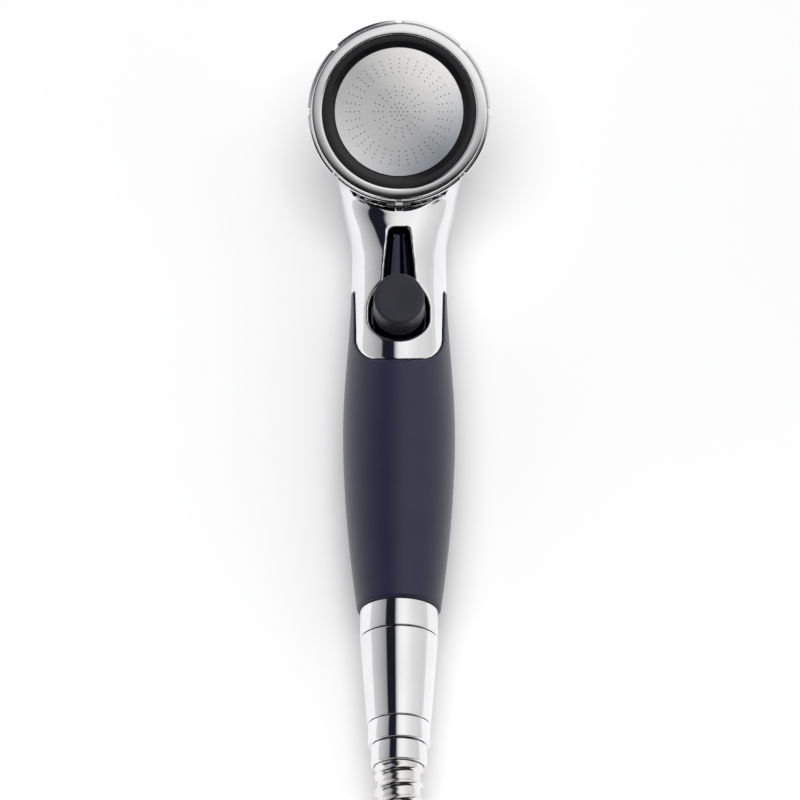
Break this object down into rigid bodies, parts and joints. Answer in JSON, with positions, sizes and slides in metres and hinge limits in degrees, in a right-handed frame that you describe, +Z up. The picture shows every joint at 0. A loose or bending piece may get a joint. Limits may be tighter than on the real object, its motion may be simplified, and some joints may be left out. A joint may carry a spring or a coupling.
{
  "type": "handheld shower head",
  "caption": "Handheld shower head with a round perforated face, stop button, soft grip and a coiled double-lock metal hose with swivel nuts.",
  "frame": {"origin": "on the surface that the handset lies on, under the middle of the handset without its hose", "axes": "+Y towards the head, -Y towards the hose, +Z up out of the surface, on the spray face's and the button's side; X across"},
  "size_m": [0.1108, 0.5527, 0.0577],
  "materials": {
    "plated_body": "bright chrome plate on ABS",
    "plated_bezel": "bright chrome plate on ABS",
    "frame_black": "satin black",
    "spray_steel": "fine brushed",
    "seal_rubber": "matte",
    "soft_grip": "soft-touch matte, dark navy",
    "button_black": "matte",
    "inner_plastic": "matte",
    "brass": "turned",
    "nut_chrome": "polished",
    "ferrule_chrome": "polished",
    "hose_metal": "chrome-plated double-lock steel strip",
    "tie_strap": "woven"
  },
  "bodies": {
    "root": {"chrome_body": "plated_body", "face_gasket": "seal_rubber", "diffuser": "inner_plastic", "diffuser_screw": "spray_steel", "grip_sleeve": "soft_grip", "handle_core": "inner_plastic", "core_o_rings": "seal_rubber", "valve_cartridge": "inner_plastic", "valve_seat": "spray_steel", "stem_gland": "inner_plastic", "stem_o_ring": "seal_rubber", "cam_sleeve": "inner_plastic", "button_spring": "spray_steel", "end_collar": "plated_body", "inlet_spigot": "brass", "spigot_o_ring": "seal_rubber", "check_valve_body": "inner_plastic", "check_spring": "spray_steel", "flow_regulator": "inner_plastic", "inlet_washer": "seal_rubber", "hose_tail": "brass", "tail_o_ring": "seal_rubber", "hose_ferrule": "ferrule_chrome", "hose_lead": "hose_metal", "hose_hank": "hose_metal", "hose_end": "hose_metal", "hank_ties": "tie_strap", "wall_ferrule": "ferrule_chrome", "wall_tail": "brass", "wall_washer": "seal_rubber"},
    "face_insert": {"spray_frame": "frame_black", "spray_plate": "spray_steel"},
    "bezel": {"face_bezel": "plated_bezel"},
    "button": {"button_cap": "button_black", "valve_stem": "spray_steel", "valve_seal": "seal_rubber"},
    "rotor": {"latch_rotor": "inner_plastic"},
    "poppet": {"check_poppet": "inner_plastic"},
    "nut": {"cone_nut": "nut_chrome", "swivel_ring": "nut_chrome"},
    "wall_nut_body": {"wall_nut": "nut_chrome"}
  },
  "joints": [
    {"name": "button_press", "type": "slide", "parent": "root", "child": "button", "axis": [0, 0, -1], "range_m": [0, 0.003], "stiffness_N_per_m": 800, "deforming": ["button_spring"]},
    {"name": "latch_turn", "type": "hinge", "parent": "button", "child": "rotor", "pos_m": [0, 0.028, 0.03], "axis": [0, 0, 1], "range_deg": [0, 45]},
    {"name": "face_lift", "type": "slide", "parent": "root", "child": "face_insert", "axis": [0, -0.4226, 0.9063], "range_m": [0, 0.004]},
    {"name": "bezel_turn", "type": "hinge", "parent": "face_insert", "child": "bezel", "pos_m": [0, 0.0897, 0.0462], "axis": [0, -0.4226, 0.9063], "range_deg": [0, 720]},
    {"name": "nut_spin", "type": "hinge", "parent": "root", "child": "nut", "pos_m": [0, -0.09, 0.0175], "axis": [0, -1, 0], "continuous": true},
    {"name": "wall_nut_spin", "type": "hinge", "parent": "root", "child": "wall_nut_body", "pos_m": [0.0215, -0.355, 0.0433], "axis": [0, -1, 0], "continuous": true},
    {"name": "check_poppet_slide", "type": "slide", "parent": "root", "child": "poppet", "axis": [0, 1, 0], "range_m": [0, 0.0025], "stiffness_N_per_m": 60, "deforming": ["check_spring"]}
  ],
  "couplings": [
    {"joint": "latch_turn", "follows": "button_press", "rad_per_m": 261.79},
    {"joint": "bezel_turn", "follows": "face_lift", "rad_per_m": 3141.5}
  ]
}
